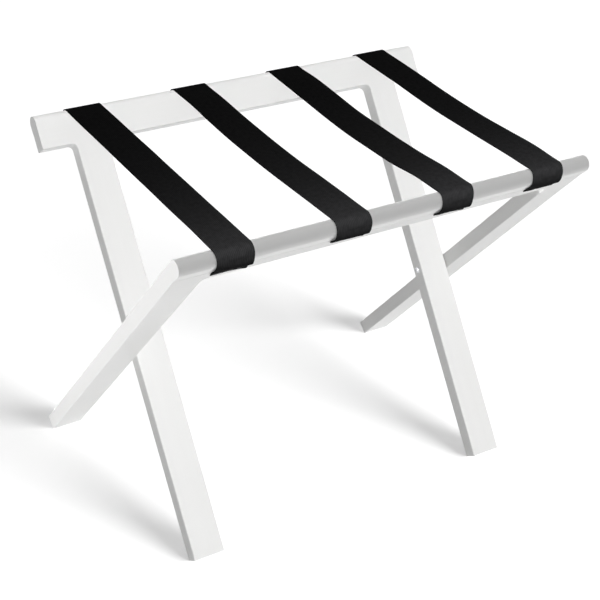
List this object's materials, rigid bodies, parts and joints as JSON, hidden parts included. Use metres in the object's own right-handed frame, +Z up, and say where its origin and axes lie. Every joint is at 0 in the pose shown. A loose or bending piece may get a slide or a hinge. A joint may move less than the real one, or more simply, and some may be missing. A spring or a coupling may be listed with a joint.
{
  "type": "folding luggage bench",
  "caption": "Folding hotel luggage bench: crossed frames of white painted board, hinged at the legs, with black webbing straps between rounded rails.",
  "frame": {"origin": "on the floor under the middle of the open bench", "axes": "+X along the rails towards the right, +Y to the back, +Z up"},
  "size_m": [0.6, 0.416, 0.4928],
  "materials": {
    "white_paint": "white satin paint on smooth hardwood",
    "webbing": "black woven polyester webbing",
    "staple_wire": "black coated flat wire",
    "dowel_wood": "bare beech",
    "bolt_enamel": "white enamelled button head on a zinc plated steel bolt",
    "washer_nylon": "white nylon",
    "insert_brass": "machined brass"
  },
  "bodies": {
    "outer_frame": {"front_rail": "white_paint", "outer_leg_left": "white_paint", "outer_leg_right": "white_paint", "outer_frame_dowels": "dowel_wood", "front_rail_staples": "staple_wire", "pivot_bolt_left": "bolt_enamel", "pivot_bolt_right": "bolt_enamel", "pivot_washer_left": "washer_nylon", "pivot_washer_right": "washer_nylon", "pivot_insert_left": "insert_brass", "pivot_insert_right": "insert_brass", "strap_far_left": "webbing", "strap_mid_left": "webbing", "strap_mid_right": "webbing", "strap_far_right": "webbing"},
    "inner_frame": {"back_rail": "white_paint", "inner_leg_left": "white_paint", "inner_leg_right": "white_paint", "inner_frame_dowels": "dowel_wood", "back_rail_staples": "staple_wire"}
  },
  "joints": [
    {"name": "fold", "type": "hinge", "parent": "outer_frame", "child": "inner_frame", "pos_m": [0, 0, 0.23089], "axis": [1, 0, 0], "range_deg": [0, 70], "deforming": ["strap_far_left", "strap_mid_left", "strap_mid_right", "strap_far_right"]}
  ]
}
